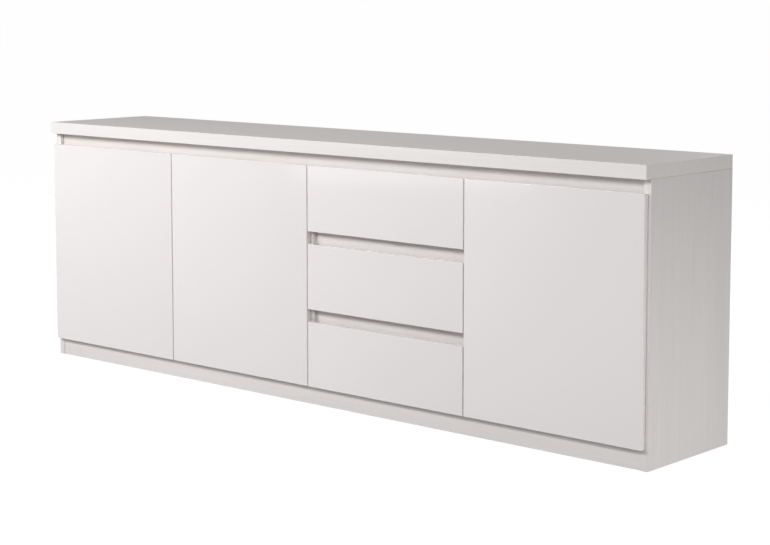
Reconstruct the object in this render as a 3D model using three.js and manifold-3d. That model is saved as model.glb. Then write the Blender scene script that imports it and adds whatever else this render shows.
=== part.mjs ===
// White gloss sideboard: three doors and a stack of three drawers under one thick top slab.
// Millimetres, +X to the right along the length, -Y to the front, +Z up.
// The origin is the centre of the footprint, on the floor.
import * as THREE from "three";
import { mergeVertices } from "three/addons/utils/BufferGeometryUtils.js";
import Module from "manifold-3d";

// ---------- driving dimensions ----------
const WIDTH = 2400;
const DEPTH = 420;
const HEIGHT = 800;
const BAYS = 4;
const JOINT_GAP = 0.2; // left between boards that are dowelled or screwed together

const SLAB_THICKNESS = 38;
const SLAB_OVERHANG = 24; // the slab's front edge to the front edges of the boards below it
const SIDE_THICKNESS = 22;
const PARTITION_THICKNESS = 18;
const BOTTOM_THICKNESS = 22;
const PLINTH_HEIGHT = 45;
const PLINTH_THICKNESS = 16;
const PLINTH_SETBACK = 3;

const BACK_THICKNESS = 4;
const BACK_INSET = 6; // the rebate's depth, measured from the slab's rear face
const BACK_REBATE = 8; // how far the back panels reach into the side panels

const FRONT_THICKNESS = 16;
const FRONT_STANDOFF = 2; // doors and drawer fronts rest on bumpers this thick
const FRONT_BOTTOM = 58;
const FRONT_GAP = 4; // between neighbouring fronts
const OUTER_REVEAL = 8; // side panel edge left showing beside the outer doors
const TOP_RECESS = 37; // finger recess between the slab and the fronts
const DRAWER_RECESS = 38; // finger recess between two drawer fronts

const RAIL_THICKNESS = 16;
const RAIL_SETBACK = 13; // rail face behind the carcass front edge
const RAIL_OVERLAP_BELOW = 22; // how far a rail reaches down behind the front below its recess
const RAIL_OVERLAP_ABOVE = 8; // how far a rail reaches up behind the drawer front above it

const SHELF_THICKNESS = 16;
const SHELF_SETBACK = 26;
const SHELF_SIDE_GAP = 1;
const SHELF_CENTRE_Z = 393;

const DRAWERS = 3;
const DRAWER_BOX_HEIGHT = 135;
const DRAWER_BOX_RISE = 15; // the box's lower edge above its front's lower edge
const DRAWER_BOX_DEPTH = 350;
const DRAWER_BOARD = 12;
const DRAWER_BOTTOM = 4;
const GROOVE_DEPTH = 6;
const GROOVE_RISE = 10;
const GROOVE_PLAY = 0.3;

const RUNNER_SPACE = 12.5; // between the drawer box and the bay's wall, on each side
const RUNNER_SHEET = 1.2;
const CHANNEL_SHEET = 1.4;
const CHANNEL_FOOT = 3.5; // the channel's lowest face below the drawer box
const CHANNEL_HEIGHT = 27.5;
const CHANNEL_FLANGE = 9;
const CARCASS_RUNNER_SETBACK = 16;
const GLIDE_HEIGHT = 20; // the drawer member's top face above the drawer box's lower edge
const GLIDE_REACH = 3; // how near the drawer member comes to the bay's wall
const HOOK_SHORTFALL = 3; // the hook under the drawer side stops this far from its inner face
const ROLLER_RADIUS = 8.5;
const ROLLER_WALL_GAP = 2.5;
const ROLLER_FACE = 10; // the roller's face, from the bay's wall
const ROLLER_END_GAP = 1.5;
const AXLE_RADIUS = 3;

const CUP_RADIUS = 17.5; // the bore in the door
const CUP_BORE_DEPTH = 12;
const CUP_PLAY = 0.3;
const CUP_WALL = 1.5;
const CUP_DEPTH = 11;
const CUP_EDGE_DISTANCE = 22.5; // cup centre to the door's hinge edge
const CUP_FLANGE_RADIUS = 19;
const CUP_FLANGE_THICKNESS = 1.2;
const CUP_WING_LENGTH = 62;
const CUP_WING_WIDTH = 17;
const HINGE_END_DISTANCE = 100; // hinge centre to the door's upper or lower edge
const ARM_WIDTH = 16;
const ARM_HEIGHT = 12.5; // the arm's inner face from the wall it is screwed to
const ARM_NOSE = 11; // the nose's width, centred on the cup
const ARM_NOSE_FRONT = 3; // these six are distances behind the carcass front edge
const ARM_NOSE_REAR = 13;
const ARM_HEEL = 22;
const ARM_KNEE = 34;
const ARM_SLOPE = 74;
const ARM_REAR = 82;
const ARM_REAR_HEIGHT = 9;
const PLATE_START = 33;
const PLATE_THICKNESS = 2.2;
const PLATE_LENGTH = 36;
const PLATE_SPAN = 50;

const ROUND_SEGMENTS = 32;

// ---------- places worked out from them ----------
const halfWidth = WIDTH / 2;
const slabFrontY = -DEPTH / 2;
const slabBackY = DEPTH / 2;
const slabBottom = HEIGHT - SLAB_THICKNESS;
const carcassFrontY = slabFrontY + SLAB_OVERHANG;
const innerBackY = slabBackY - BACK_INSET;
const frontBackY = carcassFrontY - FRONT_STANDOFF;
const frontFaceY = frontBackY - FRONT_THICKNESS;
const frontTop = slabBottom - TOP_RECESS;
const sideInner = halfWidth - SIDE_THICKNESS;
const bottomTop = PLINTH_HEIGHT + BOTTOM_THICKNESS;
const railFrontY = carcassFrontY + RAIL_SETBACK;
const railBackY = railFrontY + RAIL_THICKNESS;
const topRailBottom = frontTop - RAIL_OVERLAP_BELOW;
const drawerPitch = (frontTop - FRONT_BOTTOM + DRAWER_RECESS) / DRAWERS;
const drawerFrontHeight = drawerPitch - DRAWER_RECESS;
const bayPitch = WIDTH / BAYS;

const bayLine = (i) => -halfWidth + i * bayPitch;

// The clear space between the walls of bay i.
function bayWalls(i) {
  return {
    left: i === 0 ? -sideInner : bayLine(i) + PARTITION_THICKNESS / 2,
    right: i === BAYS - 1 ? sideInner : bayLine(i + 1) - PARTITION_THICKNESS / 2,
  };
}

// The edges of the front that covers bay i.
function frontEdges(i) {
  return {
    left: i === 0 ? -halfWidth + OUTER_REVEAL : bayLine(i) + FRONT_GAP / 2,
    right: i === BAYS - 1 ? halfWidth - OUTER_REVEAL : bayLine(i + 1) - FRONT_GAP / 2,
  };
}

// ---------- materials ----------
const finish = (color, roughness, metalness = 0) =>
  new THREE.MeshStandardMaterial({ color, roughness, metalness });
const materials = {
  slab: () => finish(0xeceae7, 0.38),
  carcass: () => finish(0xe6e4e1, 0.5),
  gloss: () => finish(0xf3f1ef, 0.1),
  back: () => finish(0xdddad5, 0.6),
  zinc: () => finish(0xb9babc, 0.32, 1),
  runner: () => finish(0xe9e9e7, 0.4),
  drawer: () => finish(0xe3e1dd, 0.55),
};

// ---------- geometry helpers ----------
const wasm = await Module();
wasm.setup();

// A closed geometry as a solid that can be joined and cut.
function solidOf(geometry) {
  const bare = geometry.clone();
  bare.deleteAttribute("normal");
  bare.deleteAttribute("uv");
  const merged = mergeVertices(bare, 1e-4);
  return new wasm.Manifold(
    new wasm.Mesh({
      numProp: 3,
      vertProperties: new Float32Array(merged.attributes.position.array),
      triVerts: new Uint32Array(merged.index.array),
    }),
  );
}

function geometryOf(solid) {
  const mesh = solid.getMesh();
  const geometry = new THREE.BufferGeometry();
  geometry.setAttribute("position", new THREE.BufferAttribute(mesh.vertProperties, 3));
  geometry.setIndex(new THREE.BufferAttribute(mesh.triVerts, 1));
  geometry.computeVertexNormals();
  return geometry;
}

// Joins a list of closed geometries, then cuts another list out of them.
function joined(added, cut = []) {
  const whole = added.map(solidOf).reduce((a, b) => a.add(b));
  return geometryOf(cut.map(solidOf).reduce((a, b) => a.subtract(b), whole));
}

function shapeOf(points) {
  return new THREE.Shape(points.map(([x, y]) => new THREE.Vector2(x, y)));
}

// A plan outline of [x, y] points, raised along +Z from 0.
function extrudeUp(points, height) {
  return new THREE.ExtrudeGeometry(shapeOf(points), { depth: height, bevelEnabled: false });
}

// A side outline of [y, z] points, extruded along +X from 0.
function extrudeAcross(points, length) {
  const basis = new THREE.Matrix4().makeBasis(
    new THREE.Vector3(0, 1, 0),
    new THREE.Vector3(0, 0, 1),
    new THREE.Vector3(1, 0, 0),
  );
  return extrudeUp(points, length).applyMatrix4(basis);
}

// A front outline of [x, z] points, extruded from the y of its rear end towards the front.
function extrudeForward(points, rearY, length) {
  const basis = new THREE.Matrix4().makeBasis(
    new THREE.Vector3(1, 0, 0),
    new THREE.Vector3(0, 0, 1),
    new THREE.Vector3(0, -1, 0),
  );
  return extrudeUp(points, length).applyMatrix4(basis).translate(0, rearY, 0);
}

// A cylinder between two places on an axis: "x" across, "y" front to back.
function rod(axis, radius, from, to) {
  const geometry = new THREE.CylinderGeometry(radius, radius, to - from, ROUND_SEGMENTS);
  const middle = (from + to) / 2;
  if (axis === "x") return geometry.rotateZ(Math.PI / 2).translate(middle, 0, 0);
  return geometry.translate(0, middle, 0);
}

function block(x0, x1, y0, y1, z0, z1) {
  const geometry = new THREE.BoxGeometry(x1 - x0, y1 - y0, z1 - z0);
  return geometry.translate((x0 + x1) / 2, (y0 + y1) / 2, (z0 + z1) / 2);
}

function addMesh(parent, name, geometry, material, x = 0, y = 0, z = 0) {
  const mesh = new THREE.Mesh(geometry, material);
  mesh.name = name;
  mesh.position.set(x, y, z);
  parent.add(mesh);
  return mesh;
}

// A plain board between two opposite corners, placed by its centre.
function addBoard(parent, name, material, [x0, x1], [y0, y1], [z0, z1]) {
  const geometry = new THREE.BoxGeometry(x1 - x0, y1 - y0, z1 - z0);
  return addMesh(
    parent, name, geometry, material, (x0 + x1) / 2, (y0 + y1) / 2, (z0 + z1) / 2,
  );
}

// ---------- carcass ----------
function addSlab(parent) {
  const x = [-halfWidth, halfWidth];
  addBoard(parent, "top_slab", materials.slab(), x, [slabFrontY, slabBackY], [slabBottom, HEIGHT]);
}

// Side panels stand on the floor and are rebated along the inner rear edge for the back panels.
function addSidePanels(parent) {
  for (const [side, sign] of [["left", -1], ["right", 1]]) {
    const outer = sign * halfWidth;
    const inner = sign * sideInner;
    const rebate = inner + sign * (BACK_REBATE + JOINT_GAP);
    const outline = [
      [outer, carcassFrontY],
      [inner, carcassFrontY],
      [inner, innerBackY],
      [rebate, innerBackY],
      [rebate, slabBackY],
      [outer, slabBackY],
    ];
    const geometry = extrudeUp(outline, slabBottom - JOINT_GAP);
    addMesh(parent, "side_panel_" + side, geometry, materials.carcass());
  }
}

// Partitions stand on the bottom panel; their upper front corners are notched for the top rail.
function addPartitions(parent) {
  const low = bottomTop + JOINT_GAP;
  const high = slabBottom - JOINT_GAP;
  const notchZ = topRailBottom - JOINT_GAP;
  const notchY = railBackY + JOINT_GAP;
  const outline = [
    [carcassFrontY, low],
    [innerBackY, low],
    [innerBackY, high],
    [notchY, high],
    [notchY, notchZ],
    [carcassFrontY, notchZ],
  ];
  ["left", "centre", "right"].forEach((name, i) => {
    const x = bayLine(i + 1) - PARTITION_THICKNESS / 2;
    const geometry = extrudeAcross(outline, PARTITION_THICKNESS);
    addMesh(parent, "partition_" + name, geometry, materials.carcass(), x);
  });
}

function addBase(parent) {
  const x = [-sideInner + JOINT_GAP, sideInner - JOINT_GAP];
  const plinthZ = [0, PLINTH_HEIGHT - JOINT_GAP];
  const frontY = carcassFrontY + PLINTH_SETBACK;
  const rearY = innerBackY - PLINTH_SETBACK;
  const braceHalf = PLINTH_THICKNESS / 2;
  const braceY = [
    frontY + PLINTH_THICKNESS + JOINT_GAP,
    rearY - PLINTH_THICKNESS - JOINT_GAP,
  ];
  const bottomZ = [PLINTH_HEIGHT, bottomTop];
  addBoard(parent, "bottom_panel", materials.carcass(), x, [carcassFrontY, innerBackY], bottomZ);
  addBoard(parent, "plinth_front", materials.carcass(), x, [frontY, frontY + PLINTH_THICKNESS], plinthZ);
  addBoard(parent, "plinth_rear", materials.carcass(), x, [rearY - PLINTH_THICKNESS, rearY], plinthZ);
  addBoard(parent, "plinth_brace", materials.carcass(), [-braceHalf, braceHalf], braceY, plinthZ);
}

// One rail closes the recess under the slab; one more stands behind each recess between drawers.
function addFingerRails(parent) {
  const y = [railFrontY, railBackY];
  const full = [-sideInner + JOINT_GAP, sideInner - JOINT_GAP];
  const topZ = [topRailBottom, slabBottom - JOINT_GAP];
  addBoard(parent, "top_finger_rail", materials.carcass(), full, y, topZ);
  const walls = bayWalls(2);
  const x = [walls.left + JOINT_GAP, walls.right - JOINT_GAP];
  ["lower", "upper"].forEach((name, i) => {
    const lowerFrontTop = FRONT_BOTTOM + i * drawerPitch + drawerFrontHeight;
    const z = [
      lowerFrontTop - RAIL_OVERLAP_BELOW,
      lowerFrontTop + DRAWER_RECESS + RAIL_OVERLAP_ABOVE,
    ];
    addBoard(parent, "drawer_finger_rail_" + name, materials.carcass(), x, y, z);
  });
}

function addBackPanels(parent) {
  const outer = sideInner + BACK_REBATE;
  const y = [innerBackY + JOINT_GAP, innerBackY + JOINT_GAP + BACK_THICKNESS];
  const z = [PLINTH_HEIGHT + JOINT_GAP, slabBottom - JOINT_GAP];
  addBoard(parent, "back_panel_left", materials.back(), [-outer, -JOINT_GAP], y, z);
  addBoard(parent, "back_panel_right", materials.back(), [JOINT_GAP, outer], y, z);
}

function addShelves(parent) {
  const y = [carcassFrontY + SHELF_SETBACK, innerBackY - SHELF_SIDE_GAP];
  const z = [SHELF_CENTRE_Z - SHELF_THICKNESS / 2, SHELF_CENTRE_Z + SHELF_THICKNESS / 2];
  for (const [name, bay] of [["left", 0], ["middle", 1], ["right", 3]]) {
    const walls = bayWalls(bay);
    const x = [walls.left + SHELF_SIDE_GAP, walls.right - SHELF_SIDE_GAP];
    addBoard(parent, "shelf_" + name, materials.carcass(), x, y, z);
  }
}

// ---------- doors and their cup hinges ----------
const hingeHeights = [
  ["lower", FRONT_BOTTOM + HINGE_END_DISTANCE],
  ["upper", frontTop - HINGE_END_DISTANCE],
];

// One door board with two blind bores for its hinge cups. x is measured from the hinge edge.
function doorGeometry(width, sign) {
  const [near, far] = sign > 0 ? [0, width] : [-width, 0];
  const board = block(near, far, 0, FRONT_THICKNESS, FRONT_BOTTOM, frontTop);
  const bores = hingeHeights.map(([, z]) =>
    rod("y", CUP_RADIUS, FRONT_THICKNESS - CUP_BORE_DEPTH, FRONT_THICKNESS + 1).translate(
      sign * CUP_EDGE_DISTANCE,
      0,
      z,
    ),
  );
  return joined([board], bores);
}

// The cup sunk in the door, with its flange and screw wings lying on the door's rear face.
function cupGeometry() {
  const outer = CUP_RADIUS - CUP_PLAY;
  const flangeBack = FRONT_THICKNESS + JOINT_GAP;
  const flangeFace = flangeBack + CUP_FLANGE_THICKNESS;
  const floor = FRONT_THICKNESS - CUP_DEPTH;
  const wing = CUP_WING_LENGTH / 2;
  const half = CUP_WING_WIDTH / 2;
  return joined(
    [
      rod("y", outer, floor, flangeFace),
      rod("y", CUP_FLANGE_RADIUS, flangeBack, flangeFace),
      block(-half, half, flangeBack, flangeFace, -wing, wing),
    ],
    [rod("y", outer - CUP_WALL, floor + CUP_WALL, flangeFace + 1)],
  );
}

// The fixed half: a plate on the wall and an arm whose nose stops just short of the cup.
// Outline points are distances from the wall and from the carcass front edge.
function armGeometry(sign, cupFromWall) {
  const noseNear = cupFromWall - ARM_NOSE / 2;
  const noseFar = cupFromWall + ARM_NOSE / 2;
  const outline = [
    [JOINT_GAP, ARM_HEEL],
    [JOINT_GAP, ARM_REAR],
    [ARM_REAR_HEIGHT, ARM_REAR],
    [ARM_HEIGHT, ARM_SLOPE],
    [ARM_HEIGHT, ARM_KNEE],
    [noseFar, ARM_NOSE_REAR],
    [noseFar, ARM_NOSE_FRONT],
    [noseNear, ARM_NOSE_FRONT],
    [noseNear, ARM_NOSE_REAR],
  ].map(([fromWall, fromFront]) => [sign * fromWall, fromFront]);
  const arm = extrudeUp(outline, ARM_WIDTH).translate(0, 0, -ARM_WIDTH / 2);
  const wallX = [sign * JOINT_GAP, sign * (JOINT_GAP + PLATE_THICKNESS)].sort((a, b) => a - b);
  const plateY = [PLATE_START, PLATE_START + PLATE_LENGTH];
  const plate = block(...wallX, ...plateY, -PLATE_SPAN / 2, PLATE_SPAN / 2);
  return joined([arm, plate]);
}

// sign is the way the closed door runs from its hinge: 1 to the right, -1 to the left.
function addDoor(parent, carcass, name, bay, sign) {
  const edges = frontEdges(bay);
  const walls = bayWalls(bay);
  const hingeX = sign > 0 ? edges.left : edges.right;
  const wallX = sign > 0 ? walls.left : walls.right;
  const door = new THREE.Group();
  door.position.set(hingeX, frontFaceY, 0);
  parent.add(door);
  addMesh(door, "door_" + name, doorGeometry(edges.right - edges.left, sign), materials.gloss());
  const cupX = sign * CUP_EDGE_DISTANCE;
  const cupFromWall = Math.abs(hingeX + cupX - wallX);
  for (const [level, z] of hingeHeights) {
    const end = name + "_" + level;
    addMesh(door, "hinge_cup_" + end, cupGeometry(), materials.zinc(), cupX, 0, z);
    const arm = armGeometry(sign, cupFromWall);
    addMesh(carcass, "hinge_arm_" + end, arm, materials.zinc(), wallX, carcassFrontY, z);
  }
}

// ---------- drawers and their roller runners ----------
// Outlines below are [x, z] sections: x from the bay's wall, z from the drawer box's lower edge.
const mirrored = (points, sign) => points.map(([x, z]) => [sign * x, z]);

// A drawer side, grooved on its inner face for the bottom.
function drawerSideOutline() {
  const near = RUNNER_SPACE;
  const far = RUNNER_SPACE + DRAWER_BOARD;
  const groove = far - GROOVE_DEPTH;
  const grooveTop = GROOVE_RISE + DRAWER_BOTTOM + 2 * GROOVE_PLAY;
  return [
    [near, 0],
    [far, 0],
    [far, GROOVE_RISE],
    [groove, GROOVE_RISE],
    [groove, grooveTop],
    [far, grooveTop],
    [far, DRAWER_BOX_HEIGHT],
    [near, DRAWER_BOX_HEIGHT],
  ];
}

// The drawer member: hooked under the drawer side, with a glide flange turned out to the wall.
function drawerMemberOutline() {
  const plateOuter = RUNNER_SPACE - JOINT_GAP - RUNNER_SHEET;
  const plateInner = RUNNER_SPACE - JOINT_GAP;
  const hookEnd = RUNNER_SPACE + DRAWER_BOARD - HOOK_SHORTFALL;
  return [
    [GLIDE_REACH, GLIDE_HEIGHT],
    [plateInner, GLIDE_HEIGHT],
    [plateInner, -GROOVE_PLAY],
    [hookEnd, -GROOVE_PLAY],
    [hookEnd, -GROOVE_PLAY - RUNNER_SHEET],
    [plateOuter, -GROOVE_PLAY - RUNNER_SHEET],
    [plateOuter, GLIDE_HEIGHT - RUNNER_SHEET],
    [GLIDE_REACH, GLIDE_HEIGHT - RUNNER_SHEET],
  ];
}

// The carcass member: a channel open towards the drawer.
function channelOutline() {
  const low = -CHANNEL_FOOT;
  const high = low + CHANNEL_HEIGHT;
  return [
    [JOINT_GAP, low],
    [CHANNEL_FLANGE, low],
    [CHANNEL_FLANGE, low + CHANNEL_SHEET],
    [JOINT_GAP + CHANNEL_SHEET, low + CHANNEL_SHEET],
    [JOINT_GAP + CHANNEL_SHEET, high - CHANNEL_SHEET],
    [CHANNEL_FLANGE, high - CHANNEL_SHEET],
    [CHANNEL_FLANGE, high],
    [JOINT_GAP, high],
  ];
}

const rollerX = (sign, from, to) => [sign * from, sign * to].sort((a, b) => a - b);

// The drawer member carries its roller at the rear, riding inside the channel.
function drawerMemberGeometry(sign, rearY) {
  const sheet = extrudeForward(mirrored(drawerMemberOutline(), sign), rearY, DRAWER_BOX_DEPTH);
  const rollerZ = CHANNEL_SHEET - CHANNEL_FOOT + ROLLER_RADIUS + GROOVE_PLAY;
  const rollerY = rearY - ROLLER_RADIUS;
  const plateX = RUNNER_SPACE - JOINT_GAP - RUNNER_SHEET / 2;
  const wheel = rod("x", ROLLER_RADIUS, ...rollerX(sign, ROLLER_WALL_GAP, ROLLER_FACE));
  const axle = rod("x", AXLE_RADIUS, ...rollerX(sign, ROLLER_WALL_GAP + 1, plateX));
  return joined([
    sheet,
    wheel.translate(0, rollerY, rollerZ),
    axle.translate(0, rollerY, rollerZ),
  ]);
}

// The carcass member carries its roller at the front, under the drawer member's glide flange.
function carcassMemberGeometry(sign, frontY) {
  const rearY = frontY + DRAWER_BOX_DEPTH;
  const channel = extrudeForward(mirrored(channelOutline(), sign), rearY, DRAWER_BOX_DEPTH);
  const rollerZ = GLIDE_HEIGHT - RUNNER_SHEET - GROOVE_PLAY - ROLLER_RADIUS;
  const rollerY = frontY + ROLLER_RADIUS + ROLLER_END_GAP;
  const wheel = rod("x", ROLLER_RADIUS, ...rollerX(sign, ROLLER_WALL_GAP, ROLLER_FACE));
  const axle = rod("x", AXLE_RADIUS, ...rollerX(sign, CHANNEL_SHEET / 2, ROLLER_FACE - 1));
  return joined([
    channel,
    wheel.translate(0, rollerY, rollerZ),
    axle.translate(0, rollerY, rollerZ),
  ]);
}

function addDrawer(parent, carcass, name, index) {
  const edges = frontEdges(2);
  const walls = bayWalls(2);
  const frontLow = FRONT_BOTTOM + index * drawerPitch;
  const boxLow = frontLow + DRAWER_BOX_RISE;
  const boxFrontY = frontBackY + JOINT_GAP;
  const boxRearY = boxFrontY + DRAWER_BOX_DEPTH;
  const drawer = new THREE.Group();
  drawer.position.z = boxLow;
  parent.add(drawer);

  const frontZ = [frontLow - boxLow, frontLow + drawerFrontHeight - boxLow];
  const frontX = [edges.left, edges.right];
  const frontY = [frontFaceY, frontBackY];
  addBoard(drawer, "drawer_front_" + name, materials.gloss(), frontX, frontY, frontZ);

  for (const [side, sign, wallX] of [["left", 1, walls.left], ["right", -1, walls.right]]) {
    const end = side + "_" + name;
    const board = extrudeForward(mirrored(drawerSideOutline(), sign), boxRearY, DRAWER_BOX_DEPTH);
    addMesh(drawer, "drawer_side_" + end, board, materials.drawer(), wallX);
    const moving = drawerMemberGeometry(sign, boxRearY);
    addMesh(drawer, "drawer_runner_" + end, moving, materials.runner(), wallX);
    const fixed = carcassMemberGeometry(sign, carcassFrontY + CARCASS_RUNNER_SETBACK);
    addMesh(carcass, "carcass_runner_" + end, fixed, materials.runner(), wallX, 0, boxLow);
  }

  const inner = RUNNER_SPACE + DRAWER_BOARD;
  const backX = [walls.left + inner + JOINT_GAP, walls.right - inner - JOINT_GAP];
  const bottomIn = inner - GROOVE_DEPTH + GROOVE_PLAY;
  const bottomX = [walls.left + bottomIn, walls.right - bottomIn];
  const bottomZ = [GROOVE_RISE + GROOVE_PLAY, GROOVE_RISE + GROOVE_PLAY + DRAWER_BOTTOM];
  const backZ = [bottomZ[1] + GROOVE_PLAY, DRAWER_BOX_HEIGHT];
  const rear = [boxRearY - DRAWER_BOARD, boxRearY];
  addBoard(drawer, "drawer_back_" + name, materials.drawer(), backX, rear, backZ);
  addBoard(drawer, "drawer_bottom_" + name, materials.drawer(), bottomX, [boxFrontY, boxRearY], bottomZ);
}

// ---------- the whole sideboard ----------
const sideboard = new THREE.Group();
const carcass = new THREE.Group();
sideboard.add(carcass);

addSlab(carcass);
addSidePanels(carcass);
addPartitions(carcass);
addBase(carcass);
addFingerRails(carcass);
addBackPanels(carcass);
addShelves(carcass);

addDoor(sideboard, carcass, "left", 0, 1);
addDoor(sideboard, carcass, "middle", 1, 1);
addDoor(sideboard, carcass, "right", 3, -1);

["lower", "middle", "upper"].forEach((name, index) => {
  addDrawer(sideboard, carcass, name, index);
});

export default sideboard;
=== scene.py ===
"""Looks of the white gloss sideboard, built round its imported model.

Metres, +X to the right along the length, -Y to the front, +Z up, origin on the floor under the middle.
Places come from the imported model's boxes: the boards, doors, drawers and hardware keep their own shapes
and get eased edges and materials here, and small fittings that the model leaves out are added.
A small fitting is drawn in millimetres, and metres() turns it into a mesh in metres.
"""

import math

import bmesh
import bpy
from mathutils import Matrix, Vector


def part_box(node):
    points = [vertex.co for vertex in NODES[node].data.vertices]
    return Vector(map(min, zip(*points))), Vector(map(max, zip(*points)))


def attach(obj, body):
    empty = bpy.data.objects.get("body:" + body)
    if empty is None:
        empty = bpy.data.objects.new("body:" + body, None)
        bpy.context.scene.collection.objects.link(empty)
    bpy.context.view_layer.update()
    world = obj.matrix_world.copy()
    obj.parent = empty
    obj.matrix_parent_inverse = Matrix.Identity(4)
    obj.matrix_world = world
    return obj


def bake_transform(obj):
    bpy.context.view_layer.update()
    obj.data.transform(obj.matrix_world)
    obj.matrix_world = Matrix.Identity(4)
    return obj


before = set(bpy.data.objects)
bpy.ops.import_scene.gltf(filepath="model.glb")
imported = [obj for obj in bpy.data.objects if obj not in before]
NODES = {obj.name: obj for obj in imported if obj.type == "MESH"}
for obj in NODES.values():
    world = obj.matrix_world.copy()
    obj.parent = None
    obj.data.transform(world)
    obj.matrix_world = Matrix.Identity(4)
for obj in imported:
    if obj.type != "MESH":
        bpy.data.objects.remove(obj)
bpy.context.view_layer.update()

MM = 0.001
X_AXIS, Y_AXIS, Z_AXIS = 0, 1, 2
LEVELS = ("lower", "upper")
DRAWERS = ("lower", "middle", "upper")
DOORS = {"left": 1, "middle": 1, "right": -1}  # name: the way the closed door runs from its hinge

# ---------- camera ----------
SENSOR_WIDTH = 36.0  # in millimetres, as is the focal length
FOCAL_LENGTH = 85.51169
CAMERA_PLACE = (3.760, -4.103, 1.226)
CAMERA_AZIMUTH = 41.50  # degrees to the right of straight on
CAMERA_PITCH = 5.75  # degrees downwards
CAMERA_SHIFT = -0.12

# ---------- light ----------
STAGE_SIZE = 80.0
STAGE_GLOW = 0.97
STAGE_ALBEDO = 0.10
FLOOR_CELLS = 4
BACKDROP_RADIUS = 0.45 * STAGE_SIZE
BACKDROP_SEGMENTS = 48
BACKDROP_RINGS = 24
ROOM_LEVEL = 0.26
ROOM_LEAN = -0.20  # share by which the room is brighter at its +X end; below zero, it is dimmer there
SOFTBOXES = {
    "key": dict(place=(1.5, -3.7, 2.65), target=(0.1, 0.0, 0.65), size=(1.8, 0.9), power=52.5),
    "left_fill": dict(place=(-1.55, -2.8, 1.95), target=(-0.7, 0.0, 0.5), size=(1.1, 0.9), power=55.5),
    "low_fill": dict(place=(-1.7, -2.6, 0.8), target=(-0.8, 0.0, 0.3), size=(1.2, 0.9), power=3.6),
    "right_fill": dict(place=(4.5, -2.0, 1.4), target=(1.0, 0.0, 0.4), size=(0.9, 0.7), power=14.0),
    "side_card": dict(place=(2.2, -0.15, 0.05), target=(1.2, 0.0, 0.1), size=(0.9, 0.8), power=4.4),
    "top_light": dict(place=(0.3, 1.3, 3.4), target=(0.0, 0.1, 0.8), size=(2.4, 1.2), power=6.0),
    "back_light": dict(place=(0.1, 4.2, 2.2), target=(0.0, 0.2, 0.5), size=(1.6, 1.2), power=62.0),
}


# ---------- node trees ----------
NOISE_RANGE = (0.3, 0.7)  # where most values of a noise lie
MIX_INPUTS = (0, 6, 7)  # a colour mix node's factor, first colour and second colour
MIX_OUTPUT = 2


def add_node(tree, kind, inputs=None, **settings):
    """Adds a node; an input is a plain value or another node's output socket."""
    made = tree.nodes.new(kind)
    for name, value in settings.items():
        setattr(made, name, value)
    for name, value in (inputs or {}).items():
        if isinstance(value, bpy.types.NodeSocket):
            tree.links.new(value, made.inputs[name])
        else:
            made.inputs[name].default_value = value
    return made


def new_material(name):
    """An empty node material and its tree."""
    material = bpy.data.materials.new(name)
    material.use_nodes = True
    material.node_tree.nodes.clear()
    return material, material.node_tree


def place_texture(tree, scale=(1.0, 1.0, 1.0)):
    """The piece's own coordinates in metres, scaled along each axis."""
    coordinates = add_node(tree, "ShaderNodeTexCoord").outputs["Object"]
    mapping = add_node(tree, "ShaderNodeMapping", {"Vector": coordinates, "Scale": scale})
    return mapping.outputs["Vector"]


def streak_texture(tree, axis, along, across):
    """The piece's own coordinates, scaled so that a noise runs in streaks along one axis."""
    return place_texture(tree, tuple(along if i == axis else across for i in range(3)))


def noise(tree, vector, scale=1.0, detail=3.0, roughness=0.5, distortion=0.0):
    """A cloudy field of values round one half."""
    made = add_node(
        tree,
        "ShaderNodeTexNoise",
        {
            "Vector": vector,
            "Scale": scale,
            "Detail": detail,
            "Roughness": roughness,
            "Distortion": distortion,
        },
    )
    return made.outputs["Fac"]


def remap(tree, value, low=0.0, high=1.0, source=NOISE_RANGE):
    """Spreads the source range of a value over low to high."""
    made = add_node(
        tree,
        "ShaderNodeMapRange",
        {
            "Value": value,
            "From Min": source[0],
            "From Max": source[1],
            "To Min": low,
            "To Max": high,
        },
    )
    return made.outputs["Result"]


def mixed(tree, factor, first, second, blend="MIX"):
    """A colour between first and second."""
    inputs = dict(zip(MIX_INPUTS, (factor, first, second)))
    made = add_node(tree, "ShaderNodeMix", inputs, data_type="RGBA", blend_type=blend)
    return made.outputs[MIX_OUTPUT]


def summed(tree, first, second, weight):
    """first plus weight times second."""
    inputs = dict(enumerate((second, weight, first)))
    return add_node(tree, "ShaderNodeMath", inputs, operation="MULTIPLY_ADD").outputs["Value"]


def finish_material(tree, colour, roughness, height, strength, depth, **fixed):
    """Joins colour, roughness and a bump from a height field to one shader.

    The bump's depth is in metres, and fixed values go on the shader's own sockets.
    """
    bump = add_node(tree, "ShaderNodeBump", {"Height": height, "Strength": strength, "Distance": depth})
    shader = add_node(
        tree,
        "ShaderNodeBsdfPrincipled",
        {"Base Color": colour, "Roughness": roughness, "Normal": bump.outputs["Normal"]},
    )
    for name, value in fixed.items():
        shader.inputs[name.replace("_", " ")].default_value = value
    add_node(tree, "ShaderNodeOutputMaterial", {"Surface": shader.outputs["BSDF"]})


def rgb(red, green, blue):
    """An opaque colour."""
    return (red, green, blue, 1.0)


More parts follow.
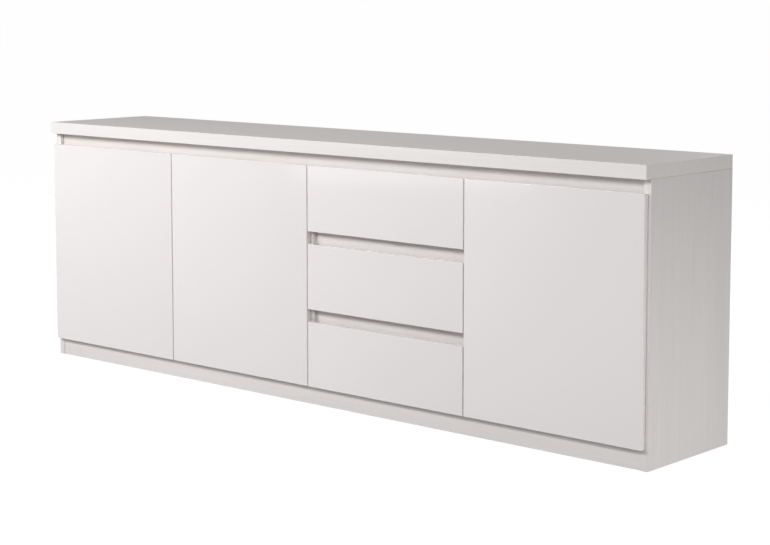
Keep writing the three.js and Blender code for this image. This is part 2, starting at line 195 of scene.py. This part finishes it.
# ---------- materials ----------
LACQUER_PAINTED_FALLOFF = 0.02  # painted light: each front's colour is a touch lighter at its left edge than at its right, a painted falloff of the light across it
LACQUER_TONES = (rgb(0.906, 0.860, 0.856), rgb(0.936, 0.892, 0.888))
SLAB_TONES = (rgb(0.935, 0.902, 0.880), rgb(0.885, 0.850, 0.824))
# painted shade: the finger rails are a touch darker than the boards, standing in for the shade of the
# finger recesses they sit in
RAIL_SHADED_TONES = (rgb(0.875, 0.838, 0.824), rgb(0.812, 0.775, 0.757))
BOARD_TONES = (rgb(0.905, 0.867, 0.853), rgb(0.84, 0.802, 0.785))
HARDBOARD_TONES = (rgb(0.775, 0.755, 0.73), rgb(0.72, 0.70, 0.67))
FOIL_TONES = (rgb(0.80, 0.79, 0.765), rgb(0.735, 0.72, 0.69))
NICKEL_TONES = (rgb(0.62, 0.61, 0.59), rgb(0.70, 0.69, 0.67))
ENAMEL_TONES = (rgb(0.80, 0.80, 0.79), rgb(0.74, 0.735, 0.72))
PLASTIC_TONES = (rgb(0.8, 0.8, 0.79), rgb(0.74, 0.74, 0.73))
RUBBER_TONES = (rgb(0.62, 0.62, 0.6), rgb(0.54, 0.54, 0.52))


def gloss_lacquer():
    """Polished white lacquer: a clear hard coat over a slightly clouded white, with a painted falloff of
    light across each front.
    """
    material, tree = new_material("gloss_lacquer")
    place = place_texture(tree)
    cloud = remap(tree, noise(tree, place, scale=1.4, detail=2.0))
    clouded = mixed(tree, cloud, *LACQUER_TONES)
    # painted light: the colour is multiplied by a painted falloff, lighter at each front's left edge and
    # darker at its right
    generated = add_node(tree, "ShaderNodeTexCoord").outputs["Generated"]
    across = add_node(tree, "ShaderNodeSeparateXYZ", {"Vector": generated}).outputs["X"]
    painted_falloff = remap(tree, across, 1.0 + LACQUER_PAINTED_FALLOFF, 1.0 - LACQUER_PAINTED_FALLOFF, source=(0.0, 1.0))
    grey = add_node(tree, "ShaderNodeCombineXYZ", {"X": painted_falloff, "Y": painted_falloff, "Z": painted_falloff}).outputs["Vector"]
    colour = mixed(tree, 1.0, clouded, grey, blend="MULTIPLY")
    smudge = remap(tree, noise(tree, place, scale=11.0, detail=4.0, roughness=0.6), 0.16, 0.26)
    peel = noise(tree, place, scale=210.0, detail=2.0)
    finish_material(
        tree,
        colour,
        smudge,
        peel,
        strength=0.10,
        depth=0.06 * MM,
        Coat_Weight=1.0,
        Coat_Roughness=0.06,
        Coat_IOR=1.5,
    )
    return material


def grained_decor(name, axis, tones):
    """White board decor with a faint fine grain running along one axis."""
    material, tree = new_material(name)
    place = streak_texture(tree, axis, along=1.6, across=70.0)
    fine_place = streak_texture(tree, axis, along=3.0, across=420.0)
    streak = noise(tree, place, detail=5.0, roughness=0.62, distortion=0.25)
    fine = noise(tree, fine_place, roughness=0.6)
    cloud = noise(tree, place_texture(tree), scale=2.1, detail=2.0)
    grain = summed(tree, streak, fine, weight=0.45)
    shade = remap(tree, summed(tree, grain, cloud, weight=0.35), source=(0.62, 1.18))
    colour = mixed(tree, shade, *tones)
    sheen = remap(tree, streak, 0.34, 0.46)
    finish_material(tree, colour, sheen, grain, strength=0.16, depth=0.12 * MM, IOR=1.46)
    return material


def printed_hardboard():
    """Thin fibreboard with a white printed face: finely flecked, and duller than the boards."""
    material, tree = new_material("printed_hardboard")
    fleck = noise(tree, place_texture(tree), scale=420.0, detail=4.0, roughness=0.7)
    cloud_place = streak_texture(tree, Z_AXIS, along=2.5, across=9.0)
    cloud = noise(tree, cloud_place, detail=5.0, roughness=0.65)
    shade = remap(tree, summed(tree, cloud, fleck, weight=1.1), source=(0.75, 1.35))
    colour = mixed(tree, shade, *HARDBOARD_TONES)
    sheen = remap(tree, fleck, 0.5, 0.66)
    finish_material(tree, colour, sheen, fleck, strength=0.2, depth=0.2 * MM)
    return material


def foil_board(name, axis):
    """Matt off-white foil of the drawer boxes, faintly streaked along one axis."""
    material, tree = new_material(name)
    place = streak_texture(tree, axis, along=2.4, across=90.0)
    streak = noise(tree, place, detail=4.0, roughness=0.6)
    cloud = noise(tree, place_texture(tree), scale=5.0, detail=2.0)
    shade = remap(tree, summed(tree, streak, cloud, weight=0.4), source=(0.5, 0.95))
    colour = mixed(tree, shade, *FOIL_TONES)
    sheen = remap(tree, streak, 0.46, 0.6)
    finish_material(tree, colour, sheen, streak, strength=0.14, depth=0.1 * MM)
    return material


def nickel():
    """Nickel-plated pressed steel with fine drawn marks and a few duller patches."""
    material, tree = new_material("nickel_plate")
    drawn = noise(tree, streak_texture(tree, X_AXIS, along=60.0, across=900.0))
    patch = noise(tree, place_texture(tree), scale=60.0, roughness=0.6)
    colour = mixed(tree, remap(tree, patch), *NICKEL_TONES)
    sheen = remap(tree, summed(tree, patch, drawn, weight=0.5), 0.2, 0.42, source=(0.45, 1.05))
    finish_material(tree, colour, sheen, drawn, strength=0.08, depth=0.04 * MM, Metallic=1.0)
    return material


def runner_enamel():
    """White epoxy on the drawer runners, with the fine texture of powder coating."""
    material, tree = new_material("runner_enamel")
    place = place_texture(tree)
    grit = noise(tree, place, scale=900.0, detail=2.0)
    cloud = noise(tree, place, scale=24.0)
    colour = mixed(tree, remap(tree, cloud), *ENAMEL_TONES)
    sheen = remap(tree, cloud, 0.3, 0.44)
    finish_material(tree, colour, sheen, grit, strength=0.15, depth=0.08 * MM)
    return material


def moulded_plastic(name, tones, dullest, glossiest):
    """Small moulded plastic fittings, between two values of roughness."""
    material, tree = new_material(name)
    place = place_texture(tree)
    cloud = noise(tree, place, scale=90.0)
    grit = noise(tree, place, scale=1500.0, detail=2.0)
    colour = mixed(tree, remap(tree, cloud), *tones)
    sheen = remap(tree, cloud, glossiest, dullest)
    finish_material(tree, colour, sheen, grit, strength=0.1, depth=0.05 * MM)
    return material


LOOKS = {
    "lacquer": gloss_lacquer(),
    "slab": grained_decor("slab_decor", X_AXIS, SLAB_TONES),
    "rail": grained_decor("rail_decor_painted_shade", X_AXIS, RAIL_SHADED_TONES),
    "board_along": grained_decor("board_decor_along", X_AXIS, BOARD_TONES),
    "board_upright": grained_decor("board_decor_upright", Z_AXIS, BOARD_TONES),
    "board_deep": grained_decor("board_decor_deep", Y_AXIS, BOARD_TONES),
    "hardboard": printed_hardboard(),
    "foil_deep": foil_board("drawer_foil_deep", Y_AXIS),
    "foil_along": foil_board("drawer_foil_along", X_AXIS),
    "nickel": nickel(),
    "enamel": runner_enamel(),
    "white_plastic": moulded_plastic("white_plastic", PLASTIC_TONES, dullest=0.42, glossiest=0.3),
    "clear_rubber": moulded_plastic("bumper_rubber", RUBBER_TONES, dullest=0.55, glossiest=0.4),
}


# ---------- the model's own nodes: eased edges and materials ----------
SMOOTH_ANGLE = math.radians(33)
WELD_DISTANCE = 0.01 * MM


def geometry_group(name):
    """A new node group that takes and gives geometry, with the sockets at its two ends."""
    group = bpy.data.node_groups.new(name, "GeometryNodeTree")
    for end in ("INPUT", "OUTPUT"):
        group.interface.new_socket("Geometry", in_out=end, socket_type="NodeSocketGeometry")
    source = group.nodes.new("NodeGroupInput").outputs[0]
    result = group.nodes.new("NodeGroupOutput").inputs[0]
    return group, source, result


def welding_group():
    """A node group that drops imported normals and merges the split corners of each face."""
    group, last, result = geometry_group("weld_faces")
    for attribute in ("custom_normal", "sharp_face", "sharp_edge"):
        remove = add_node(group, "GeometryNodeRemoveAttribute", {"Geometry": last, "Name": attribute})
        last = remove.outputs["Geometry"]
    merge = add_node(group, "GeometryNodeMergeByDistance", {"Geometry": last, "Distance": WELD_DISTANCE})
    group.links.new(merge.outputs["Geometry"], result)
    return group


def smoothing_group():
    """A node group that shades smooth across edges flatter than SMOOTH_ANGLE."""
    group, source, result = geometry_group("smooth_by_angle")
    faces = add_node(group, "GeometryNodeSetShadeSmooth", {"Geometry": source}, domain="FACE")
    angle = add_node(group, "GeometryNodeInputMeshEdgeAngle").outputs["Unsigned Angle"]
    limit = {"A": angle, "B": SMOOTH_ANGLE}
    sharp = add_node(group, "FunctionNodeCompare", limit, operation="GREATER_THAN")
    edges = add_node(
        group,
        "GeometryNodeSetShadeSmooth",
        {
            "Geometry": faces.outputs["Geometry"],
            "Selection": sharp.outputs["Result"],
            "Shade Smooth": False,
        },
        domain="EDGE",
    )
    group.links.new(edges.outputs["Geometry"], result)
    return group


WELD = welding_group()
SMOOTH = smoothing_group()


def ease_edges(piece, width, segments=3):
    """Rounds the piece's edges by width and gives it clean normals."""
    piece.modifiers.new("weld", "NODES").node_group = WELD
    if width:
        bevel = piece.modifiers.new("ease", "BEVEL")
        bevel.width = width
        bevel.segments = segments
        bevel.limit_method = "ANGLE"
        bevel.angle_limit = SMOOTH_ANGLE
        bevel.use_clamp_overlap = True
    piece.modifiers.new("shade", "NODES").node_group = SMOOTH
    weighted = piece.modifiers.new("normals", "WEIGHTED_NORMAL")
    weighted.keep_sharp = True


# how a node's name starts: its look and the radius of its edges; the first match counts
NODE_LOOKS = {
    "top_slab": ("slab", 0.9 * MM),
    "side_panel": ("board_upright", 0.6 * MM),
    "partition": ("board_upright", 0.5 * MM),
    "bottom_panel": ("board_along", 0.5 * MM),
    "plinth_brace": ("board_deep", 0.5 * MM),
    "plinth": ("board_along", 0.5 * MM),
    # the finger rails take the darker rail look, a painted shade for their recesses
    "top_finger_rail": ("rail", 0.5 * MM),
    "drawer_finger_rail": ("rail", 0.5 * MM),
    "shelf": ("board_along", 0.6 * MM),
    "back_panel": ("hardboard", 0.2 * MM),
    "door": ("lacquer", 0.9 * MM),
    "drawer_front": ("lacquer", 0.9 * MM),
    "drawer_side": ("foil_deep", 0.4 * MM),
    "drawer_back": ("foil_along", 0.4 * MM),
    "drawer_bottom": ("foil_deep", 0.2 * MM),
    "hinge_arm": ("nickel", 0.8 * MM),
    "hinge_cup": ("nickel", 0.25 * MM),
    "carcass_runner": ("enamel", 0.25 * MM),
    "drawer_runner": ("enamel", 0.25 * MM),
}


def dress_nodes():
    """Eases the edges of every node of the model and gives it its look."""
    for name, node in NODES.items():
        prefix = next(p for p in NODE_LOOKS if name.startswith(p))
        look, radius = NODE_LOOKS[prefix]
        ease_edges(node, radius)
        for slot in node.material_slots:
            slot.material = LOOKS[look]


# ---------- shapes of small fittings, in millimetres ----------
def plain_mesh(shape, name):
    """Turns a bmesh into a mesh as it is."""
    mesh = bpy.data.meshes.new(name)
    shape.to_mesh(mesh)
    shape.free()
    return mesh


def metres(shape, name):
    """Turns a bmesh drawn in millimetres into a mesh in metres."""
    bmesh.ops.scale(shape, vec=(MM, MM, MM), verts=shape.verts)
    bmesh.ops.recalc_face_normals(shape, faces=shape.faces)
    return plain_mesh(shape, name)


def turned(profile, segments=32, dip=None):
    """A closed solid turned about Z from (radius, height) pairs; dip lowers a point by its x and y."""
    shape = bmesh.new()
    rings = []
    for radius, height in profile:
        if radius == 0.0:
            rings.append([shape.verts.new((0.0, 0.0, height))])
            continue
        ring = []
        for i in range(segments):
            turn = 2 * math.pi * i / segments
            ring.append(shape.verts.new((radius * math.cos(turn), radius * math.sin(turn), height)))
        rings.append(ring)
    for inner, outer in zip(rings, rings[1:]):
        for i in range(segments):
            j = (i + 1) % segments
            around = ((inner, i), (outer, i), (outer, j), (inner, j))
            corners = [ring[k % len(ring)] for ring, k in around]
            shape.faces.new(list(dict.fromkeys(corners)))
    if dip:
        for vert in shape.verts:
            vert.co.z -= dip(vert.co.x, vert.co.y)
    return shape


def skinned(sections):
    """A solid through sections, each a ring of corners."""
    shape = bmesh.new()
    rings = [[shape.verts.new(corner) for corner in section] for section in sections]
    for first, second in zip(rings, rings[1:]):
        for i in range(len(first)):
            j = (i + 1) % len(first)
            shape.faces.new((first[i], first[j], second[j], second[i]))
    shape.faces.new(rings[0][::-1])
    shape.faces.new(rings[-1])
    return shape


def prism(outline, bottom, top):
    """A solid of an XY outline between two heights."""
    return skinned([[(x, y, height) for x, y in outline] for height in (bottom, top)])


def scaled(shares, radius, height):
    """A profile for turned() from shares of a radius and a height."""
    return [(across * radius, up * height) for across, up in shares]


# ---------- placing small fittings ----------
def facing(normal):
    """The turn that points a fitting's +Z along normal."""
    return Vector(normal).to_track_quat("Z", "Y").to_matrix().to_4x4()


REARWARDS = facing((0, 1, 0))


def in_scene(name, data):
    """A new object in the scene."""
    made = bpy.data.objects.new(name, data)
    bpy.context.scene.collection.objects.link(made)
    return made


def add_piece(name, mesh, look, body, place=(0, 0, 0), turn=None, radius=0.0):
    """Puts a fitting at place, makes it ride on its body and eases its edges."""
    piece = in_scene(name, mesh)
    if not mesh.materials:
        mesh.materials.append(LOOKS[look])
    piece.matrix_world = Matrix.Translation(Vector(place)) @ (turn or Matrix.Identity(4))
    ease_edges(piece, radius, segments=2)
    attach(piece, body)


def centre(node):
    """The middle of a node's box."""
    low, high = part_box(node)
    return (Vector(low) + Vector(high)) / 2


# ---------- screws ----------
SCREW_SEGMENTS = 48
DOME_RINGS = 13
DOME_STEP = 0.06  # from ring to ring, as a share of the head's radius
DOME_FALL = 0.10  # how far the dome's curve drops over the whole radius, as a share of the head's height
HEAD_RIM = ((0.84, 0.84), (0.94, 0.6), (1.0, 0.3), (1.0, 0.0), (0.0, 0.0))  # shares of radius and height
CROSS_REACH = 0.56  # length of the recess's arms, as a share of the head's radius
CROSS_HALF_WIDTH = 0.17
CROSS_DEPTH = 0.55  # at the middle, as a share of the head's height
CROSS_RISE = 0.55  # share of its depth that an arm loses by its end


def cross_recess(radius, depth):
    """The dip of a cross-headed screw."""
    reach = CROSS_REACH * radius

    def dip(x, y):
        along, across = max(abs(x), abs(y)), min(abs(x), abs(y))
        if along > reach or across > CROSS_HALF_WIDTH * radius:
            return 0.0
        return depth * (1.0 - CROSS_RISE * along / reach)

    return dip


def screw_mesh(name, radius, height):
    """A pan-headed screw with a cross recess and a flat underside."""
    dome = [(DOME_STEP * i, 1 - DOME_FALL * (DOME_STEP * i) ** 2) for i in range(DOME_RINGS)]
    profile = scaled(dome, radius, height) + scaled(HEAD_RIM, radius, height)
    shape = turned(profile, SCREW_SEGMENTS, cross_recess(radius, CROSS_DEPTH * height))
    for vert in shape.verts:
        vert.co.z = max(vert.co.z, 0.0)
    return metres(shape, name)


PLATE_SCREW = screw_mesh("plate_screw", radius=3.6, height=1.7)
WING_SCREW = screw_mesh("wing_screw", radius=3.2, height=1.1)
RUNNER_SCREW = screw_mesh("runner_screw", radius=3.0, height=1.2)


# ---------- hinges ----------
CARCASS_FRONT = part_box("bottom_panel")[0][1]
PLATE_FACE = 2.5 * MM  # a hinge plate's face from the wall
PLATE_MIDDLE = 51 * MM  # behind the carcass front edge
PLATE_SCREW_RISE = 19 * MM  # above and below the hinge's centre
WING_SCREW_RISE = 24.5 * MM
LINK_START = 2.5 * MM  # inside the nose of the arm
LINK_END = 9.4 * MM  # inside the cup
LINK_STEPS = 16
LINK_THICKNESS = 1.3
LINK_BOW = 1.1  # sideways at a link's middle
LINK_EASE = 0.25 * MM
LINKS = {"inner": (-2.6, 9.5), "outer": (2.4, 7.0)}  # sideways from the cup's centre, and height along Z


def add_hinge_screws(door, way, level):
    """Two screws in a hinge's plate on the wall and two in the wings of its cup."""
    end = door + "_" + level
    arm_low, arm_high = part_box("hinge_arm_" + end)
    wall = arm_low[0] if way > 0 else arm_high[0]
    cup = centre("hinge_cup_" + end)
    cup_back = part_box("hinge_cup_" + end)[1][1]
    for row, up in (("lower", -1), ("upper", 1)):
        place = (wall + way * PLATE_FACE, CARCASS_FRONT + PLATE_MIDDLE, cup.z + up * PLATE_SCREW_RISE)
        name = "plate_screw_%s_%s" % (end, row)
        add_piece(name, PLATE_SCREW, "nickel", "carcass", place, facing((way, 0, 0)))
        place = (cup.x, cup_back, cup.z + up * WING_SCREW_RISE)
        name = "wing_screw_%s_%s" % (end, row)
        add_piece(name, WING_SCREW, "nickel", "door_" + door, place, REARWARDS)


def link_mesh(start, finish, way, offset, height):
    """A flat bar that bows sideways between two places in metres, which share their x and z."""
    half, tall = LINK_THICKNESS / 2, height / 2
    z = start[2] / MM
    sections = []
    for i in range(LINK_STEPS + 1):
        share = i / LINK_STEPS
        x = start[0] / MM + way * (offset + LINK_BOW * math.sin(math.pi * share))
        y = (start[1] + (finish[1] - start[1]) * share) / MM
        corners = ((x - half, z - tall), (x + half, z - tall), (x + half, z + tall), (x - half, z + tall))
        sections.append([(across, y, up) for across, up in corners])
    return metres(skinned(sections), "hinge_link")


def add_hinge_links(door, way, level):
    """The two links that join a hinge's arm to its cup."""
    end = door + "_" + level
    cup = centre("hinge_cup_" + end)
    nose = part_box("hinge_arm_" + end)[0][1] + LINK_START
    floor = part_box("hinge_cup_" + end)[1][1] - LINK_END
    for name, (offset, height) in LINKS.items():
        mesh = link_mesh((cup.x, nose, cup.z), (cup.x, floor, cup.z), way, offset, height)
        mesh.materials.append(LOOKS["nickel"])
        link = in_scene("hinge_link_%s_%s" % (name, end), mesh)
        ease_edges(link, LINK_EASE, segments=2)
        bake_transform(link)


# ---------- bumpers ----------
FRONT_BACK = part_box("door_left")[1][1]
BUMPER_RADIUS = 3.0
BUMPER_HEIGHT = 1.7
BUMPER_DOME = ((0.0, 1.0), (0.5, 0.97), (0.8, 0.78), (0.95, 0.45), (1.0, 0.0), (0.0, 0.0))
BUMPER = metres(turned(scaled(BUMPER_DOME, BUMPER_RADIUS, BUMPER_HEIGHT)), "bumper")
BUMPER_INSET = 3.6 * MM  # bumper centre from the front's free edge
BUMPER_DROP = 45 * MM  # from its upper and lower edge


def add_bumpers():
    """Clear buttons behind the fronts that keep them off the carcass edges."""
    places = []
    for door, way in DOORS.items():
        low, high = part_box("door_" + door)
        edge = high[0] - BUMPER_INSET if way > 0 else low[0] + BUMPER_INSET
        for name, z in (("lower", low[2] + BUMPER_DROP), ("upper", high[2] - BUMPER_DROP)):
            places.append(("bumper_%s_%s" % (door, name), "door_" + door, edge, z))
    for drawer in DRAWERS:
        low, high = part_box("drawer_front_" + drawer)
        for name, x in (("left", low[0] + BUMPER_INSET), ("right", high[0] - BUMPER_INSET)):
            places.append(("bumper_%s_%s" % (drawer, name), "drawer_" + drawer, x, high[2] - BUMPER_DROP))
    for name, body, x, z in places:
        add_piece(name, BUMPER, "clear_rubber", body, (x, FRONT_BACK, z), REARWARDS)


# ---------- shelf pins ----------
PIN_REACH = 9.0
PIN_WIDTH = 7.0
PIN_THICKNESS = 2.0
PIN_ARC_STEPS = 12
PIN_EASE = 0.3 * MM
PIN_INSET = 48 * MM  # pins from the shelf's front and rear edge
RIB_WIDTH = 2.0
RIB_REACH = PIN_REACH - 3.0  # it stops short of the lug's round end
RIB_TOP = -1.0
RIB_ROOT = -4.2
RIB_TIP = -1.6
COLLAR_PROFILE = ((0.0, 1.2), (2.8, 1.2), (3.3, 0.8), (3.4, 0.0), (0.0, 0.0))
COLLAR_DROP = 3.0  # collar's centre below the lug's upper face


def pin_mesh():
    """A shelf support: a collar on the wall and a rounded lug with a rib under it."""
    half = PIN_WIDTH / 2
    lug = [(-half, 0.0), (half, 0.0)]
    for i in range(PIN_ARC_STEPS + 1):
        turn = math.pi * i / PIN_ARC_STEPS
        lug.append((half * math.cos(turn), PIN_REACH - half + half * math.sin(turn)))
    shape = prism(lug, -PIN_THICKNESS, 0.0)
    side = ((0.0, RIB_TOP), (0.0, RIB_ROOT), (RIB_REACH, RIB_TIP), (RIB_REACH, RIB_TOP))
    rib = skinned([[(x, y, z) for y, z in side] for x in (-RIB_WIDTH / 2, RIB_WIDTH / 2)])
    collar = turned(COLLAR_PROFILE)
    bmesh.ops.rotate(collar, matrix=Matrix.Rotation(math.radians(-90), 3, "X"), verts=collar.verts)
    bmesh.ops.translate(collar, vec=(0, 0, -COLLAR_DROP), verts=collar.verts)
    for part in (rib, collar):
        spare = plain_mesh(part, "spare")
        shape.from_mesh(spare)
        bpy.data.meshes.remove(spare)
    return metres(shape, "shelf_pin")


def add_shelf_pins():
    """Four pins under each shelf, two in each of the walls beside it."""
    pin = pin_mesh()
    bays = {
        "left": ("side_panel_left", "partition_left"),
        "middle": ("partition_left", "partition_centre"),
        "right": ("partition_right", "side_panel_right"),
    }
    for bay, (left_wall, right_wall) in bays.items():
        low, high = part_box("shelf_" + bay)
        walls = (("left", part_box(left_wall)[1][0], 1), ("right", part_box(right_wall)[0][0], -1))
        for side, x, way in walls:
            turn = Matrix.Rotation(math.radians(-90 * way), 4, "Z")
            for row, y in (("front", low[1] + PIN_INSET), ("rear", high[1] - PIN_INSET)):
                name = "shelf_pin_%s_%s_%s" % (bay, side, row)
                add_piece(name, pin, "nickel", "carcass", (x, y, low[2]), turn, PIN_EASE)


# ---------- drawer fixings ----------
RUNNER_SCREW_SHARES = (0.14, 0.5, 0.86)  # of a runner's length, from its front end
FRONT_SCREW_SHARES = (-0.36, -0.12, 0.12, 0.36)  # of a front's length, from its middle
WEB_FACE = 1.7 * MM  # the channel's web from the wall


def add_runner_screws():
    """Three screws through the web of each carcass runner."""
    for level in DRAWERS:
        for side, way in (("left", 1), ("right", -1)):
            low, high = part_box("carcass_runner_%s_%s" % (side, level))
            wall = low[0] if way > 0 else high[0]
            middle = (low[2] + high[2]) / 2
            turn = facing((way, 0, 0))
            for i, share in enumerate(RUNNER_SCREW_SHARES):
                y = low[1] + share * (high[1] - low[1])
                name = "runner_screw_%s_%s_%d" % (side, level, i + 1)
                place = (wall + way * WEB_FACE, y, middle)
                add_piece(name, RUNNER_SCREW, "nickel", "carcass", place, turn)


def add_front_fixings():
    """A row of screws inside each drawer that hold its front."""
    for level in DRAWERS:
        low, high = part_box("drawer_front_" + level)
        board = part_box("drawer_side_left_" + level)
        middle = (low[0] + high[0]) / 2
        for i, share in enumerate(FRONT_SCREW_SHARES):
            place = (middle + share * (high[0] - low[0]), high[1], (board[0][2] + board[1][2]) / 2)
            name = "front_screw_%s_%d" % (level, i + 1)
            add_piece(name, RUNNER_SCREW, "nickel", "drawer_" + level, place, REARWARDS)


# ---------- back fixings ----------
NAIL_STEP = 125 * MM
NAIL_INSET = 7 * MM
NAIL_SEGMENTS = 20
NAIL_PROFILE = ((0.0, 0.9), (1.1, 0.85), (1.9, 0.55), (2.2, 0.1), (2.2, 0.0), (0.0, 0.0))
NAIL = metres(turned(NAIL_PROFILE, NAIL_SEGMENTS), "nail")
STRIP_WIDTH = 22.0
STRIP_THICKNESS = 1.3
STRIP_RIM = 0.5  # thickness at the strip's long edges
STRIP_SLOPE = 1.2  # width of the slope inside each long edge
STRIP_GAP = 1.0  # from the strip's ends to the ends of the joint
STRIP_EASE = 0.15 * MM
GROOVE_DEPTH = 0.5
GROOVE_TOP = 1.2  # half the groove's width at the strip's face
GROOVE_FLOOR = 0.7


def add_back_nails(side):
    """Nails along the upper, lower and outer edge of a back panel, with none beside the joint strip."""
    low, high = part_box("back_panel_" + side)
    across = int((high[0] - low[0]) / NAIL_STEP)
    up = int((high[2] - low[2]) / NAIL_STEP)
    spots = []
    for i in range(across + 1):
        x = low[0] + NAIL_INSET + (high[0] - low[0] - 2 * NAIL_INSET) * i / across
        spots += [(x, low[2] + NAIL_INSET), (x, high[2] - NAIL_INSET)]
    outer = low[0] + NAIL_INSET if side == "left" else high[0] - NAIL_INSET
    for i in range(1, up):
        spots.append((outer, low[2] + (high[2] - low[2]) * i / up))
    for i, (x, z) in enumerate(spots):
        if abs(x) < STRIP_WIDTH * MM:
            continue
        name = "back_nail_%s_%02d" % (side, i + 1)
        add_piece(name, NAIL, "nickel", "carcass", (x, high[1], z), REARWARDS)


def add_joint_strip():
    """The grooved plastic strip over the joint of the back panels."""
    low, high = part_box("back_panel_left")
    half = STRIP_WIDTH / 2
    right = [(GROOVE_FLOOR, STRIP_THICKNESS - GROOVE_DEPTH), (GROOVE_TOP, STRIP_THICKNESS)]
    right += [(half - STRIP_SLOPE, STRIP_THICKNESS), (half, STRIP_RIM), (half, 0.0)]
    left = [(-x, y) for x, y in reversed(right)]
    strip = prism(left + right, low[2] / MM + STRIP_GAP, high[2] / MM - STRIP_GAP)
    mesh = metres(strip, "joint_strip")
    place = (0, high[1], 0)
    add_piece("back_joint_strip", mesh, "white_plastic", "carcass", place, None, STRIP_EASE)


def add_fittings():
    """All the small fittings that the model leaves out."""
    for door, way in DOORS.items():
        for level in LEVELS:
            add_hinge_screws(door, way, level)
            add_hinge_links(door, way, level)
    add_bumpers()
    add_shelf_pins()
    add_runner_screws()
    add_front_fixings()
    for side in ("left", "right"):
        add_back_nails(side)
    add_joint_strip()


# ---------- camera, floor and light ----------
def aim(thing, place, target):
    """Puts a camera or a light at place and points it at target."""
    thing.location = place
    thing.rotation_mode = "QUATERNION"
    thing.rotation_quaternion = (Vector(target) - Vector(place)).to_track_quat("-Z", "Y")


def add_camera():
    """The photograph's view."""
    camera = bpy.data.cameras.new("camera")
    camera.sensor_width = SENSOR_WIDTH
    camera.lens = FOCAL_LENGTH
    camera.shift_y = CAMERA_SHIFT
    holder = in_scene("camera", camera)
    azimuth, pitch = math.radians(CAMERA_AZIMUTH), math.radians(CAMERA_PITCH)
    level = math.cos(pitch)
    forward = Vector((-math.sin(azimuth) * level, math.cos(azimuth) * level, -math.sin(pitch)))
    aim(holder, CAMERA_PLACE, Vector(CAMERA_PLACE) + forward)
    bpy.context.scene.camera = holder


def add_stage(name, shape, sees):
    """A huge glowing white surface; sees lists the rays it answers besides the camera's."""
    surface = in_scene(name, plain_mesh(shape, name))
    for ray in ("diffuse", "glossy", "shadow", "transmission", "volume_scatter"):
        setattr(surface, "visible_" + ray, ray in sees)
    material, tree = new_material(name)
    grey = rgb(STAGE_ALBEDO, STAGE_ALBEDO, STAGE_ALBEDO)
    matt = add_node(tree, "ShaderNodeBsdfDiffuse", {"Color": grey})
    glow = add_node(tree, "ShaderNodeEmission", {"Color": rgb(1, 1, 1), "Strength": STAGE_GLOW})
    both = add_node(tree, "ShaderNodeAddShader", {0: matt.outputs[0], 1: glow.outputs[0]})
    add_node(tree, "ShaderNodeOutputMaterial", {"Surface": both.outputs[0]})
    material.cycles.emission_sampling = "NONE"
    surface.data.materials.append(material)


def floor_shape():
    """A flat square."""
    shape = bmesh.new()
    bmesh.ops.create_grid(shape, x_segments=FLOOR_CELLS, y_segments=FLOOR_CELLS, size=STAGE_SIZE / 2)
    return shape


def backdrop_shape():
    """A sphere all round."""
    shape = bmesh.new()
    bmesh.ops.create_uvsphere(
        shape,
        u_segments=BACKDROP_SEGMENTS,
        v_segments=BACKDROP_RINGS,
        radius=BACKDROP_RADIUS,
    )
    return shape


def add_room():
    """Soft room light from all round, uneven along X by ROOM_LEAN."""
    world = bpy.data.worlds.new("studio")
    bpy.context.scene.world = world
    world.use_nodes = True
    tree = world.node_tree
    tree.nodes.clear()
    direction = add_node(tree, "ShaderNodeTexCoord").outputs["Generated"]
    along = add_node(tree, "ShaderNodeSeparateXYZ", {"Vector": direction}).outputs["X"]
    left, right = ROOM_LEVEL * (1.0 - ROOM_LEAN), ROOM_LEVEL * (1.0 + ROOM_LEAN)
    tone = remap(tree, along, left, right, source=(-1.0, 1.0))
    background = add_node(tree, "ShaderNodeBackground", {"Strength": tone})
    add_node(tree, "ShaderNodeOutputWorld", {"Surface": background.outputs[0]})


def add_softbox(name, place, target, size, power):
    """A rectangular light that the camera doesn't see."""
    light = bpy.data.lights.new(name, "AREA")
    light.shape = "RECTANGLE"
    light.size, light.size_y = size
    light.energy = power
    holder = in_scene(name, light)
    holder.visible_camera = False
    aim(holder, place, target)


def add_light():
    """The room and its softboxes, shown without a film look."""
    add_room()
    for name, settings in SOFTBOXES.items():
        add_softbox(name, **settings)
    bpy.context.scene.view_settings.view_transform = "Standard"


# ---------- put together ----------
add_camera()
add_stage("floor", floor_shape(), sees=("glossy",))
add_stage("backdrop", backdrop_shape(), sees=())
add_light()
dress_nodes()
add_fittings()
